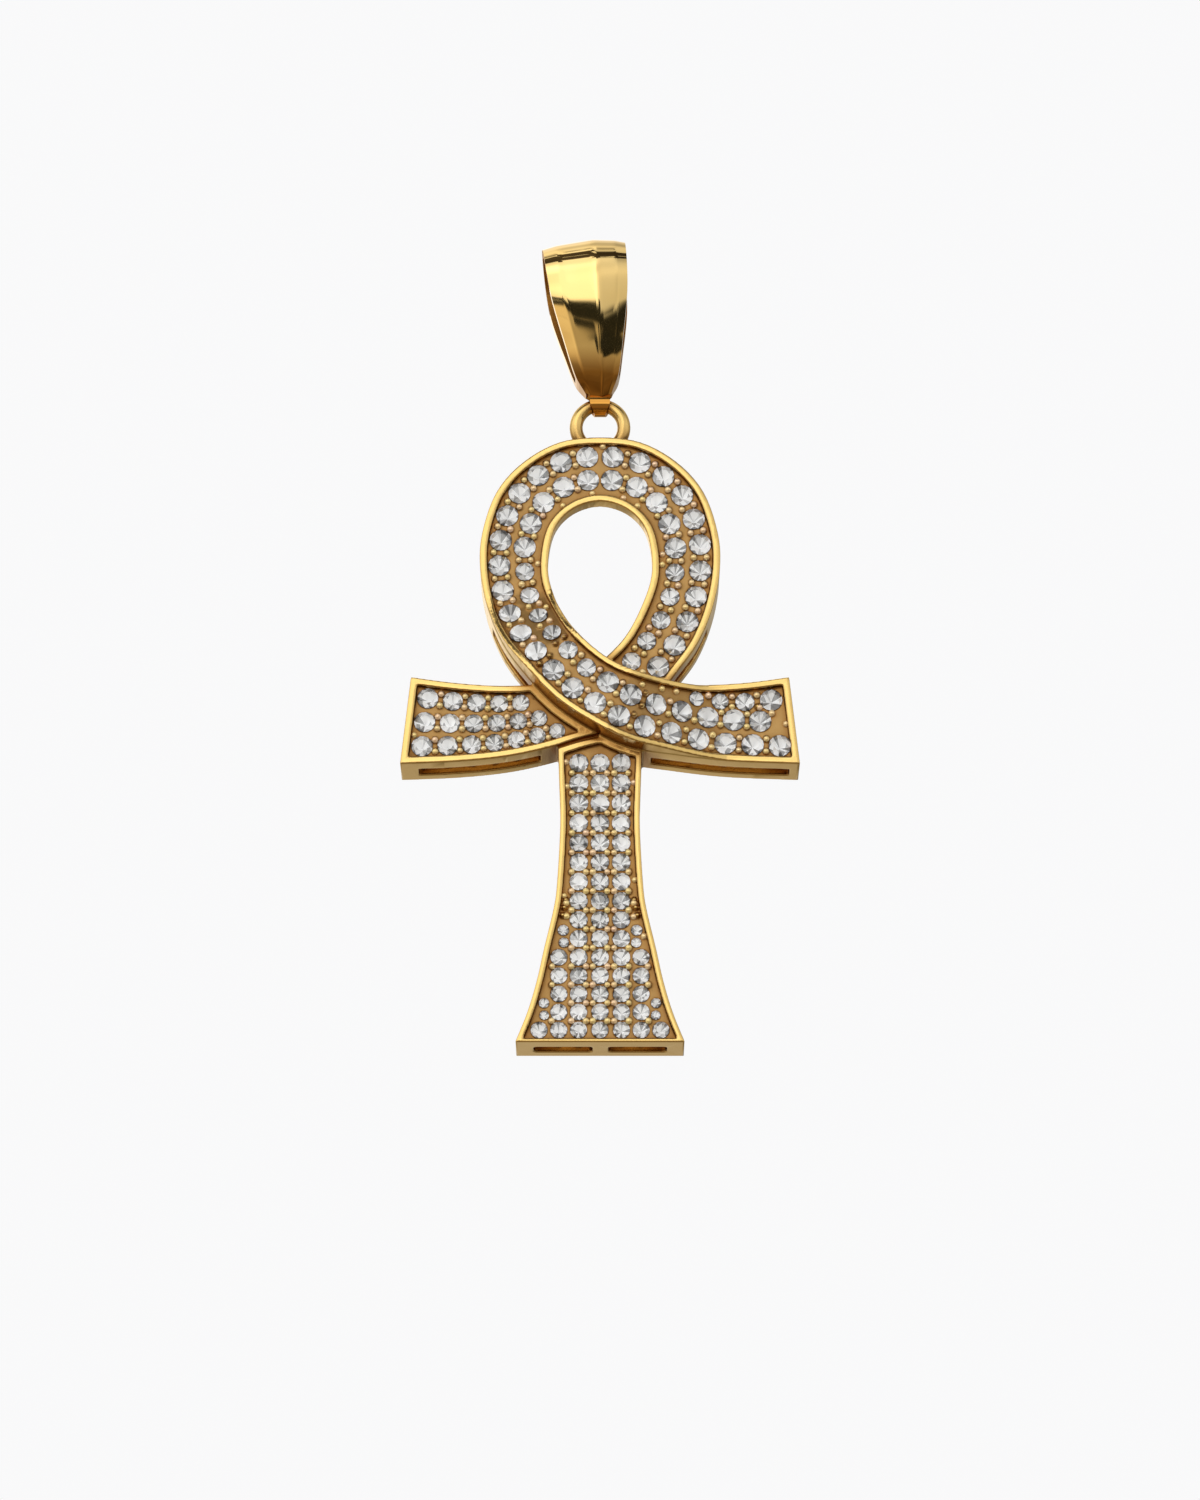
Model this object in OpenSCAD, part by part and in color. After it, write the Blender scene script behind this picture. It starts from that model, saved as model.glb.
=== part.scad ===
// Ankh pendant on a tapered bail, set all over with small round stones.
// The front faces -Y, up is +Z, and the origin is the inside top of the bail, where a chain bears.
// The ankh is drawn on its own plane first: x across and z up from the middle of the shoulder line,
// where the shaft meets the arms. Depth runs from the flat front level to the open back.

/* [Ankh] */
// Width across the two arms, at their lower corners
span_w = 23.2; // [21:0.1:27]
// Height of each arm's end
arm_h = 5.3; // [4.9:0.1:6]
// Width of the loop
loop_w = 14.06; // [13.4:0.02:15]
// Height of the loop above the shoulder line
loop_h = 19.44; // [18:0.02:22]
// Width of the teardrop hole in the loop
hole_w = 6.04; // [5:0.02:6.6]
// Height of the hole's top above the shoulder line
hole_top = 15.41; // [14:0.01:15.8]
// Length of the shaft below the shoulder line
shaft_h = 17.5; // [15:0.1:22]
// Narrowest width of the shaft
waist_w = 4.6; // [4.4:0.1:5.2]
// Width of the shaft's foot
foot_w = 9.7; // [9:0.1:12]

/* [Casting] */
// Depth from the flat front level to the back
depth = 3.2; // [2.8:0.1:4]
// Thickness of the front plate, rims included
plate_t = 1.05; // [1:0.05:1.4]
// Thickness of the outer side walls
wall_t = 0.7; // [0.5:0.05:0.9]
// Width of the rims round the stone fields
rim_w = 0.42; // [0.3:0.02:0.5]
// Depth of the stone fields below their rims
recess = 0.3; // [0.2:0.02:0.4]
// Rise of the crossing band above the flat front level
lift = 1.7; // [1:0.1:2.4]
// Width of the groove between the left arm and the shaft
groove_w = 0.18; // [0.1:0.02:0.3]
// Width of the slots in the side walls, measured along the depth
slot_w = 1.2; // [0.8:0.1:1.4]

/* [Stones] */
// Diameter of the large stones
stone_l = 1.24; // [1.1:0.02:1.3]
// Diameter of the medium stones
stone_m = 1.06; // [0.96:0.02:1.1]
// Diameter of the small stones
stone_s = 0.93; // [0.86:0.01:0.98]
// Least gap between two stones
stone_gap = 0.11; // [0.1:0.01:0.2]
// Least gap between the stones along the ribbon's outer rows
outer_gap = 0.31; // [0.14:0.01:0.4]
// Least gap between the stones along the ribbon's inner rows
inner_gap = 0.24; // [0.14:0.01:0.4]
// Gap between the rims and the stones
rim_gap = 0.1; // [0.06:0.01:0.16]
// Gap between a stone and its seat
seat_gap = 0.03; // [0.02:0.01:0.05]
// Diameter of the prong beads
bead_d = 0.32; // [0.26:0.02:0.36]

/* [Ring and bail] */
// Thickness of the soldered ring's wire
wire_d = 0.78; // [0.7:0.02:0.86]
// Diameter of the ring along the middle of its wire
ring_d = 2.84; // [2.7:0.02:3.2]
// Height of the ring's centre above the loop
ring_rise = 1.2; // [1.1:0.05:1.4]
// Height of the bail's crest above the wire that it hangs the ankh by
bail_h = 10.15; // [9:0.05:12]
// Width of the bail at its crest
bail_w = 4.98; // [4.4:0.02:5.6]
// Depth of the bail from front to back
bail_d = 4.8; // [4.2:0.1:5.6]
// Thickness of the bail's band at its edges
band_t = 0.5; // [0.4:0.05:0.6]
// Height of the band's ridge over its edges
ridge_h = 0.34; // [0.2:0.02:0.5]
// Lean of the bail to the left, in degrees
bail_lean = 5.7; // [0:0.1:7]
// Gap round the wire in the bail's eye
eye_gap = 0.13; // [0.12:0.01:0.16]
// Thickness of the eye's wall
eye_wall = 0.17; // [0.14:0.01:0.24]

/* [Hidden] */

GOLD = "gold";
CLEAR = "azure";
OVER = 0.05;    // what a cut runs past the faces that it opens
STEPS = 5;      // pieces that a curve has between two rows of its table
$fn = 24;       // corners of a round edge in the mesh
FRONT = -depth / 2;
BACK = depth / 2;
FLOOR = FRONT + recess;
PLATE_BACK = FRONT + plate_t;
SLOT_FROM = PLATE_BACK + 2 * OVER;

// Where the hinge lies: the middle of the wire at the top of the soldered ring
seat_up = bail_h - band_t;
hinge = [seat_up * sin(bail_lean), 0, -seat_up * cos(bail_lean)];
hinge_up = loop_h + ring_rise + ring_d / 2;

// The loop's outer edge from its top, columns: across / half loop width, up / loop height
LOOP_EDGE = [
  [0.000, 1.000],
  [0.342, 0.984],
  [0.646, 0.919],
  [0.868, 0.822],
  [0.986, 0.689],
  [1.000, 0.576],
  [0.939, 0.453],
  [0.812, 0.337],
  [0.622, 0.238],
];
LOOP_END = [0.420, 0.130];
// The hole's edge from its top, columns: across / half hole width, up / height of the hole's top
HOLE_EDGE = [
  [0.000, 1.000],
  [0.506, 0.970],
  [0.860, 0.896],
  [0.999, 0.785],
  [0.977, 0.675],
  [0.724, 0.538],
  [0.423, 0.436],
];
HOLE_END = [0.000, 0.350];
// The crossing band's lower edge, columns: across / half span, up / arm height
BAND_LOW = [
  [-0.217, 0.494],
  [-0.033, 0.217],
  [0.141, 0.030],
  [0.345, -0.048],
  [0.629, -0.123],
  [1.000, -0.157],
];
// The crossing band's upper edge, columns: across / half span, up / arm height
BAND_HIGH = [
  [0.025, 0.994],
  [0.156, 0.843],
  [0.306, 0.766],
  [0.512, 0.753],
  [0.741, 0.783],
  [0.950, 0.847],
];
// The left arm's lower edge, columns: across / half span, up / arm height
ARM_LOW = [
  [-1.000, -0.157],
  [-0.724, -0.132],
  [-0.474, -0.075],
  [-0.259, 0.028],
  [-0.086, 0.151],
  [0.086, 0.240],
];
// The left arm's upper edge, columns: across / half span, up / arm height
ARM_HIGH = [
  [-0.950, 0.847],
  [-0.741, 0.783],
  [-0.512, 0.745],
  [-0.345, 0.758],
  [-0.200, 0.790],
];
// The shaft's side, columns: down / shaft height, flare / what the foot adds to the waist
SHAFT_SIDE = [
  [-0.160, 0.070],
  [0.007, 0.047],
  [0.126, 0.020],
  [0.263, 0.000],
  [0.460, 0.070],
  [0.549, 0.149],
  [0.680, 0.355],
  [0.789, 0.515],
  [0.897, 0.725],
  [1.000, 1.000],
];

// The slots in the foot, columns: from, to / foot width
FOOT_SLOTS = [[-0.39, -0.045], [0.05, 0.395]];
SLOT_ROUND = 0.2;         // corner radius of the foot's slots / their width

// The band's lift turns about a point above the crossing, in degrees from straight down
lift_axis = [0.65 * loop_w / 2, 0.566 * loop_h];
LIFT_FROM = -85;
LIFT_FULL = [-50, -22];
LIFT_TO = 17;
LIFT_STEP = 3;
LIFT_SINK = 0.04;         // how far the lifted front starts and ends below the flat front
LEDGE = 0.04;             // how far the lifted band's walls stand inside those of the flat front

// A stone's shares of its radius
TABLE = 0.56;
CROWN = 0.32;
GIRDLE = 0.06;
PAVILION = 0.86;
SEAT_HOLE = 0.35;
GIRDLE_UP = 0.05;         // a girdle's height over the floor
SEAT_TOP = 0.35;          // how far a seat's cut runs above the floor
BEAD_UP = 0.06;           // height of a bead's middle over the floor
BEAD_GAP = 0.05;          // gap between a bead and its stones
BEAD_OFF = 0.31;          // least distance of a bead from the line of its row / diameter of the stones
SHAFT_RIM = 0.8 * rim_w;  // the rims along the shaft are narrower
FOOT_RIM = 0.5 * rim_w;

// The ribbon's inner rows, columns: up to / length of the row's path, diameter
INNER_LEFT = [
  [0.260, stone_l],
  [0.577, stone_m],
  [1.000, stone_l],
];
INNER_RIGHT = [
  [0.450, stone_l],
  [1.000, stone_m],
];
// The right arm's third row, columns: across / half span, up / arm height, diameter
THIRD_ROW = [
  [0.859, 0.594, stone_l],
  [0.727, 0.572, stone_m],
  [0.603, 0.577, stone_s],
  [0.484, 0.594, 0.9 * stone_s],
];
ARM_STONE = 0.228;        // the left arm's stones / the arm's height where they sit
ARM_PITCH = 1.25;         // step along the left arm / diameter
SHAFT_EASE = 0.08;        // how much more than an even step the shaft's first rows take
// Small stones beside the shaft's columns, columns: down / shaft height, which column, diameter / small
SHAFT_FILL = [
  [0.617, 1, 0.66],
  [0.659, 1, 0.60],
  [0.865, 2, 0.60],
  [0.906, 2, 0.56],
];
// Beads on their own along the shaft's sides, down / shaft height
SIDE_BEADS = [0.462, 0.488, 0.514, 0.540, 0.566, 0.590];

// The bail's side from its crest, columns: out / half depth, up / height, half width / half crest width
BAIL_SIDE = [
  [0.00, 1.000, 1.000],
  [0.55, 0.960, 0.995],
  [0.88, 0.880, 0.985],
  [1.00, 0.770, 0.965],
  [0.93, 0.640, 0.920],
  [0.80, 0.500, 0.820],
  [0.64, 0.360, 0.700],
  [0.50, 0.240, 0.600],
  [0.36, 0.150, 0.500],
  [0.22, 0.085, 0.360],
  [0.14, 0.055, 0.300],
];
BAIL_STEPS = 3;
CHANNEL_END = 8 * BAIL_STEPS;   // where the bail's inside ends on its side
// Across the band, columns: across / half width, rise / ridge height
ACROSS = [[-1, 0], [-0.654, 0.53], [0.225, 1], [0.746, 0.53], [1, 0]];
// The eye from the front, columns: half width / eye radius, up / eye radius
EYE_SIDE = [[0.46, -1.02], [0.81, -0.22], [1.20, 0.87]];
EYE_FLAT = 0.2;                 // half length of the straight part of the eye's bore
eye_r = wire_d / 2 + eye_gap + eye_wall;

// Curves through a few points

function bend(a, b, c, d, t) =
  0.5 * (2 * b + (c - a) * t + (2 * a - 5 * b + 4 * c - d) * t * t + (3 * b - a - 3 * c + d) * t * t * t);
function curve(p, steps = STEPS) = [
  for (i = [0 : len(p) - 2], k = [0 : steps - 1])
    bend(p[max(i - 1, 0)], p[i], p[i + 1], p[min(i + 2, len(p) - 1)], k / steps),
  p[len(p) - 1]
];
// A curve that starts level, at the middle of a top
function from_top(p, steps = STEPS) =
  let (before = concat([-p[1][0]], part_of(p[1], 1, len(p[1]) - 1)))
  part_of(curve(concat([before], p), steps), steps, len(p) * steps);
function sized(table, w, h) = [for (row = table) [row[0] * w, row[1] * h]];
function mirrored(p) = [for (q = p) [-q[0], q[1]]];
function reversed(p) = [for (i = [len(p) - 1 : -1 : 0]) p[i]];
function part_of(p, from, to) = [for (i = [from : to]) p[i]];
function unit(v) = v / norm(v);
function left_of(v) = [-v[1], v[0]];
function last(p) = p[len(p) - 1];

// A curve moved sideways by d, to the left of its own direction
function moved(p, d) = [
  for (i = [0 : len(p) - 1])
    let (
      a = left_of(unit(p[max(i, 1)] - p[max(i, 1) - 1])),
      b = left_of(unit(p[min(i, len(p) - 2) + 1] - p[min(i, len(p) - 2)]))
    )
    p[i] + d * (a + b) / (1 + a * b)
];
// A curve with straight ends of length d added on
function stretched(p, d) = concat(
  [p[0] + d * unit(p[0] - p[1])],
  p,
  [last(p) + d * unit(last(p) - p[len(p) - 2])]
);

// Places along a curve by length
function lengths(p, i = 1, sum = [0]) =
  i >= len(p) ? sum : lengths(p, i + 1, concat(sum, [last(sum) + norm(p[i] - p[i - 1])]));
function on_curve(p, run, s) =
  let (
    k = max([for (i = [0 : len(p) - 2]) run[i] <= s ? i : 0]),
    t = (s - run[k]) / (run[k + 1] - run[k])
  )
  p[k] + t * (p[k + 1] - p[k]);
function distance_to(p, curve) = min([
  for (i = [0 : len(curve) - 2])
    let (
      a = curve[i],
      ab = curve[i + 1] - a,
      t = min(max((p - a) * ab / (ab * ab), 0), 1)
    )
    norm(p - a - t * ab)
]);
// How high a curve that runs to the right stands at a given place across
function height_at(curve, x) =
  let (
    i = max([for (k = [0 : len(curve) - 2]) curve[k][0] <= x ? k : 0]),
    t = (x - curve[i][0]) / (curve[i + 1][0] - curve[i][0])
  )
  curve[i][1] + t * (curve[i + 1][1] - curve[i][1]);

// Edges and outlines of the ankh's parts, as seen from the front

loop_side = sized(LOOP_EDGE, loop_w / 2, loop_h);
hole_side = sized(HOLE_EDGE, hole_w / 2, hole_top);
loop_right = from_top(concat(loop_side, sized([LOOP_END], loop_w / 2, loop_h)));
hole_right = from_top(concat(hole_side, sized([HOLE_END], hole_w / 2, hole_top)));
band_low = from_top(concat(mirrored(loop_side), sized(BAND_LOW, span_w / 2, arm_h)));
band_high = from_top(concat(mirrored(hole_side), sized(BAND_HIGH, span_w / 2, arm_h)));
loop_edge = concat(reversed(loop_right), part_of(band_low, 1, (len(LOOP_EDGE) + 1) * STEPS));
hole_edge = concat(
  reversed(part_of(hole_right, 0, len(hole_right) - 2)),
  part_of(band_high, 1, len(HOLE_EDGE) * STEPS - 1)
);
arm_low = curve(sized(ARM_LOW, span_w / 2, arm_h));
arm_high = curve(sized(ARM_HIGH, span_w / 2, arm_h));
arms_low = concat(
  part_of(arm_low, 0, 4 * STEPS),
  part_of(band_low, (len(LOOP_EDGE) + 2) * STEPS, len(band_low) - 1)
);
arms_high = concat(
  arm_high,
  part_of(band_high, (len(HOLE_EDGE) + 2) * STEPS, len(band_high) - 1)
);
shaft_right = curve([
  for (row = SHAFT_SIDE) [waist_w / 2 + row[1] * (foot_w - waist_w) / 2, -row[0] * shaft_h]
]);

// How far the crossing band rises over the flat front, and how steeply that changes across and up
function lift_angle(p) = atan2(p[0] - lift_axis[0], lift_axis[1] - p[1]);
function eased(t) = let (u = min(max(t, 0), 1)) u * u * (3 - 2 * u);
function risen(a) =
  let (
    on = eased((a - LIFT_FROM) / (LIFT_FULL[0] - LIFT_FROM)),
    off = eased((LIFT_TO - a) / (LIFT_TO - LIFT_FULL[1]))
  )
  (lift + LIFT_SINK) * on * off - LIFT_SINK;
function lift_at(p) = max(0, risen(lift_angle(p)));
function lift_slope(p) =
  let (
    a = lift_angle(p),
    r = norm(p - lift_axis),
    change = max(0, risen(a + 0.5)) - max(0, risen(a - 0.5))
  )
  change / (r * PI / 180) * [cos(a), sin(a)];
function fan_point(a, r) = lift_axis + r * [sin(a), -cos(a)];

// Stones are [across, up, diameter, on the lifted band or not], and beads the same

function clear(s, others, gap) =
  min([for (o = others) norm([s[0] - o[0], s[1] - o[1]]) - (s[2] + o[2]) / 2]) >= gap;
function kept(all, gap, i = 0, done = []) =
  i >= len(all) ? done
    : kept(all, gap, i + 1, len(done) == 0 || clear(all[i], done, gap) ? concat(done, [all[i]]) : done);
function flat(rows) = [for (row = rows) each row];
function pick(table, share) = [for (row = table) if (share <= row[0]) row[1]][0];

// A row of stones at even steps along a curve, from half a step off its start to the place end
function row_along(p, end, gap, sizes, on_band) =
  let (
    run = lengths(p),
    least = stone_l + gap,
    first = (stone_l + gap) / 2,
    n = floor((end - first) / least)
  )
  [
    for (i = [0 : n])
      let (
        s = first + i * (end - first) / n,
        q = on_curve(p, run, s)
      )
      [q[0], q[1], pick(sizes, s / last(run)), on_band]
  ];
// How far along a curve it first comes nearer to another curve than a given distance
function clear_until(p, other, least) =
  let (run = lengths(p))
  min([for (s = [0 : 0.05 : last(run)]) if (distance_to(on_curve(p, run, s), other) < least) s]);

row_in = rim_w + rim_gap + stone_l / 2;
second_in = row_in + stone_l + 2 * stone_gap;
outer_path = moved(band_low, row_in);
inner_path = moved(band_low, second_in);
outer_right = moved(loop_right, -row_in);
inner_right = moved(loop_right, -second_in);
ribbon_rows = [
  row_along(outer_path, last(lengths(outer_path)) - 1.05 * row_in, outer_gap, [[1, stone_l]], 1),
  row_along(inner_path, last(lengths(inner_path)) - row_in - stone_l, inner_gap, INNER_LEFT, 1),
  [for (row = THIRD_ROW) [row[0] * span_w / 2, row[1] * arm_h, row[2], 1]],
  row_along(outer_right, clear_until(outer_right, band_high, row_in), outer_gap, [[1, stone_l]], 0),
  row_along(inner_right, clear_until(inner_right, band_high, row_in - stone_gap), inner_gap, INNER_RIGHT, 0),
];

// The left arm's rows run from its end to the crossing band, 0 for the lowest and 1 for the highest
arm_end = [arms_low[0], arms_high[0]];
function arm_stone(x, level) =
  let (
    low = height_at(arm_low, x),
    high = height_at(arm_high, x),
    d = min(stone_l, ARM_STONE * (high - low)),
    in = rim_w + rim_gap + d / 2
  )
  [x, low + in + level * (high - low - 2 * in), d, 0];
function arm_row(level, x, done = []) =
  let (
    s = arm_stone(x, level),
    at_end = distance_to([s[0], s[1]], arm_end) < rim_w + rim_gap + s[2] / 2,
    at_band = distance_to([s[0], s[1]], band_low) < rim_w + rim_gap / 2 + s[2] / 2
  )
  at_band ? done
    : at_end ? arm_row(level, x + stone_gap / 4, done)
    : arm_row(level, x + ARM_PITCH * s[2], concat(done, [s]));
left_arm_rows = [for (level = [0, 0.5, 1]) arm_row(level, arm_end[1][0])];

// The shaft's columns, 0 in the middle, and its rows from the top
shaft_first = -0.04 * shaft_h;
shaft_last = -shaft_h + FOOT_RIM + rim_gap + stone_s / 2;
shaft_rows = let (run = shaft_first - shaft_last)
  floor(min(run * (1 - SHAFT_EASE) / (stone_s + stone_gap), run * (1 + SHAFT_EASE) / (stone_m + stone_gap)));
function shaft_z(t) = shaft_first + (shaft_last - shaft_first) * ((1 + SHAFT_EASE) * t - SHAFT_EASE * t * t);
function column_x(k) = k == 0 ? 0 : stone_m + 1.5 * stone_gap + (k - 1) * (stone_s + 1.8 * stone_gap);
function inside_shaft(s) =
  abs(s[0]) < shaft_half(s[1]) && distance_to([abs(s[0]), s[1]], shaft_right) >= SHAFT_RIM + rim_gap + s[2] / 2;
function shaft_half(z) = height_at([for (q = shaft_right) [-q[1], q[0]]], -z);
function shaft_column(k, side) = [
  for (i = [0 : shaft_rows])
    let (
      t = i / shaft_rows,
      s = [side * column_x(k), shaft_z(t), (k > 1 ? stone_s : stone_m + (stone_s - stone_m) * t), 0]
    )
    if (inside_shaft(s)) s
];
shaft_columns = concat(
  [for (k = [0 : 3], side = [1, -1]) if (k > 0 || side > 0) shaft_column(k, side)],
  [
    for (row = SHAFT_FILL, side = [1, -1])
      let (
        d = row[2] * stone_s,
        s = [side * (column_x(row[1]) + stone_s / 2 + stone_gap + d / 2), -row[0] * shaft_h, d, 0]
      )
      if (inside_shaft(s)) [s]
  ]
);

all_ribbon_stones = kept(flat(ribbon_rows), stone_gap);
all_left_arm_stones = kept(flat(left_arm_rows), stone_gap);
all_shaft_stones = kept(flat(shaft_columns), stone_gap);

// Two beads at each gap between two neighbours in a row
function beads_between(a, b) =
  let (
    ab = [b[0] - a[0], b[1] - a[1]],
    span = norm(ab),
    ra = a[2] / 2 + BEAD_GAP + bead_d / 2,
    rb = b[2] / 2 + BEAD_GAP + bead_d / 2,
    along = (span * span + ra * ra - rb * rb) / (2 * span),
    least = BEAD_OFF * (a[2] + b[2]) / 2,
    off = sqrt(max(ra * ra - along * along, least * least)),
    mid = [a[0], a[1]] + along * ab / span
  )
  [for (side = [1, -1]) let (q = mid + side * off * left_of(ab / span)) [q[0], q[1], bead_d, a[3]]];
function row_beads(rows, stones) = [
  for (row = rows)
    if (len(row) > 1)
      for (i = [0 : len(row) - 2], bead = beads_between(row[i], row[i + 1]))
        if (clear(bead, stones, 0.8 * BEAD_GAP)) bead
];
ribbon_beads = kept(row_beads(ribbon_rows, all_ribbon_stones), BEAD_GAP);
left_arm_beads = kept(row_beads(left_arm_rows, all_left_arm_stones), BEAD_GAP);
side_beads = [
  for (share = SIDE_BEADS, side = [1, -1])
    let (
      z = -share * shaft_h,
      bead = [side * (shaft_half(z) - SHAFT_RIM - rim_gap - bead_d / 2), z, bead_d, 0]
    )
    if (clear(bead, all_shaft_stones, 0.8 * BEAD_GAP)) bead
];
shaft_beads = kept(concat(row_beads(shaft_columns, all_shaft_stones), side_beads), BEAD_GAP);

// Where a stone or a bead stands, and which way it faces
function foot_of(s) = [s[0], FLOOR - s[3] * lift_at([s[0], s[1]]), s[1]];
function facing(s) = let (g = s[3] * lift_slope([s[0], s[1]])) unit([-g[0], -1, -g[1]]);
module placed(s) {
  n = facing(s);
  translate(foot_of(s)) rotate(acos(n[2]), cross([0, 0, 1], n)) children();
}

// Cut stones with an eight-sided table, as points in the casting's own frame
function ring_points(r, turn, up) = [for (k = [0 : 7]) [r * cos(45 * k + turn), r * sin(45 * k + turn), up]];
function stone_points(s) =
  let (
    r = s[2] / 2,
    top = GIRDLE_UP + (GIRDLE + CROWN) * r,
    n = facing(s),
    u = unit([1, 0, 0] - n[0] * n),
    v = cross(n, u)
  )
  [
    for (
      q = concat(
        ring_points(TABLE * r, 22.5, top),
        ring_points(r, 0, GIRDLE_UP + GIRDLE * r),
        ring_points(r, 0, GIRDLE_UP),
        [[0, 0, GIRDLE_UP - PAVILION * r]]
      )
    )
      foot_of(s) + q[0] * u + q[1] * v + q[2] * n
  ];
function stone_faces(k) = concat(
  [[for (i = [7 : -1 : 0]) k + i]],
  [
    for (i = [0 : 7])
      let (j = (i + 1) % 8, h = (i + 7) % 8)
      each [
        [k + 8 + i, k + h, k + i],
        [k + 8 + i, k + i, k + 8 + j],
        [k + 16 + i, k + 8 + i, k + 8 + j, k + 16 + j],
        [k + 24, k + 16 + i, k + 16 + j],
      ]
  ]
);
module stones(list) {
  color(CLEAR) translate(hinge - [0, 0, hinge_up])
    polyhedron([for (s = list) each stone_points(s)], [for (i = [0 : len(list) - 1]) each stone_faces(25 * i)]);
}
module seats(list) {
  for (s = list) {
    r = s[2] / 2 + seat_gap;
    hole = SEAT_HOLE * s[2] / 2;
    placed(s)
      rotate_extrude()
        polygon([
          [0, -plate_t - recess],
          [hole, -plate_t - recess],
          [hole, GIRDLE_UP - seat_gap - PAVILION * (r - hole)],
          [r, GIRDLE_UP - seat_gap],
          [r, SEAT_TOP],
          [0, SEAT_TOP],
        ]);
  }
}
module beads(list) {
  for (s = list) placed(s) translate([0, 0, BEAD_UP]) sphere(d = bead_d);
}

module as_front(y0, y1) translate([0, y1, 0]) rotate([90, 0, 0]) linear_extrude(y1 - y0) children();

// The ankh's outlines, each moved inwards by d
module loop_shape(d) polygon(moved(loop_edge, d));
module hole_shape(d) polygon(moved(hole_edge, d));
module between_ends(d) {
  low = arms_low[0];
  high = arms_high[0];
  left = moved([high + 3 * (high - low), low - 3 * (high - low)], d);
  polygon(concat(left, reversed(mirrored(left))));
}
module strip(low, high, d) {
  intersection() {
    polygon(concat(moved(stretched(low, 1), d), reversed(moved(stretched(high, 1), -d))));
    between_ends(d);
  }
}
module shaft_shape(d, foot_d) {
  side = moved(stretched(shaft_right, 1), -d);
  top = -SHAFT_SIDE[0][0] * shaft_h - d;
  intersection() {
    polygon(concat(reversed(side), mirrored(side)));
    translate([-foot_w, -shaft_h + foot_d]) square([2 * foot_w, top + shaft_h - foot_d]);
  }
}

// The stone fields, inside their rims
module band_cover(grown) {
  polygon(concat(moved(band_low, -grown), reversed(moved(band_high, grown))));
}
module below_band(grown) {
  low = [[span_w, -shaft_h], [-span_w, -shaft_h], [-span_w, 2 * loop_h], [0, 2 * loop_h]];
  polygon(concat(moved(band_high, grown), low));
}
module under_lift(far) {
  polygon([lift_axis, fan_point(LIFT_FROM, far), [-far, -far], [far, -far], [far, lift_axis[1]]]);
}
module band_field() {
  intersection() {
    strip(band_low, band_high, rim_w);
    under_lift(span_w);
  }
}
module loop_field() {
  difference() {
    loop_shape(rim_w);
    hole_shape(-rim_w);
    intersection() {
      under_lift(span_w);
      below_band(rim_w);
    }
  }
}
module arm_field() {
  difference() {
    strip(arm_low, arm_high, rim_w);
    band_cover(rim_w);
  }
}
module shaft_field() {
  difference() {
    shaft_shape(SHAFT_RIM, FOOT_RIM);
    band_cover(rim_w);
    strip(arm_low, arm_high, -groove_w - rim_w);
  }
}

// A solid along the lifted part of the crossing band, with the same corners at every angle.
// Corners are [moved edge, depth at no lift, whether it rises], the ends are convex groups of them.
function crossing(p, a) =
  let (
    i = [for (k = [0 : len(p) - 2]) if (lift_angle(p[k]) <= a && lift_angle(p[k + 1]) > a) k][0],
    before = cross(p[i] - lift_axis, fan_point(a, 1) - lift_axis),
    after = cross(p[i + 1] - lift_axis, fan_point(a, 1) - lift_axis)
  )
  p[i] + before / (before - after) * (p[i + 1] - p[i]);
module along_lift(corners, ends) {
  angles = [for (a = [LIFT_FROM : LIFT_STEP : LIFT_TO]) a];
  m = len(corners);
  top = m * (len(angles) - 1);
  points = [
    for (a = angles, c = corners)
      let (q = crossing(c[0], a)) [q[0], c[1] - c[2] * risen(a), q[1]]
  ];
  sides = [
    for (k = [0 : m : top - 1], i = [0 : m - 1])
      let (j = (i + 1) % m)
      each [[k + i, k + j, k + m + j], [k + i, k + m + j, k + m + i]]
  ];
  polyhedron(points, concat(sides, [for (e = ends) reversed(e)], [for (e = ends) [for (i = e) top + i]]));
}
// The band where it rises over the flat front, from inside the plate
module raised_band() {
  edge = LEDGE;
  rim = rim_w - LEDGE;
  base = FLOOR + recess;
  along_lift([
    [moved(band_low, edge), base, 0],
    [moved(band_low, edge), FRONT, 1],
    [moved(band_low, rim), FRONT, 1],
    [moved(band_low, rim), FLOOR, 1],
    [moved(band_high, -rim), FLOOR, 1],
    [moved(band_high, -rim), FRONT, 1],
    [moved(band_high, -edge), FRONT, 1],
    [moved(band_high, -edge), base, 0],
  ], [[0, 1, 2, 3], [0, 3, 4, 7], [4, 5, 6, 7]]);
}
module under_band() {
  wall = wall_t + OVER;
  along_lift([
    [moved(band_low, wall), BACK + OVER, 0],
    [moved(band_low, wall), PLATE_BACK, 1],
    [moved(band_high, -wall), PLATE_BACK, 1],
    [moved(band_high, -wall), BACK + OVER, 0],
  ], [[0, 1, 2, 3]]);
}

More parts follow.
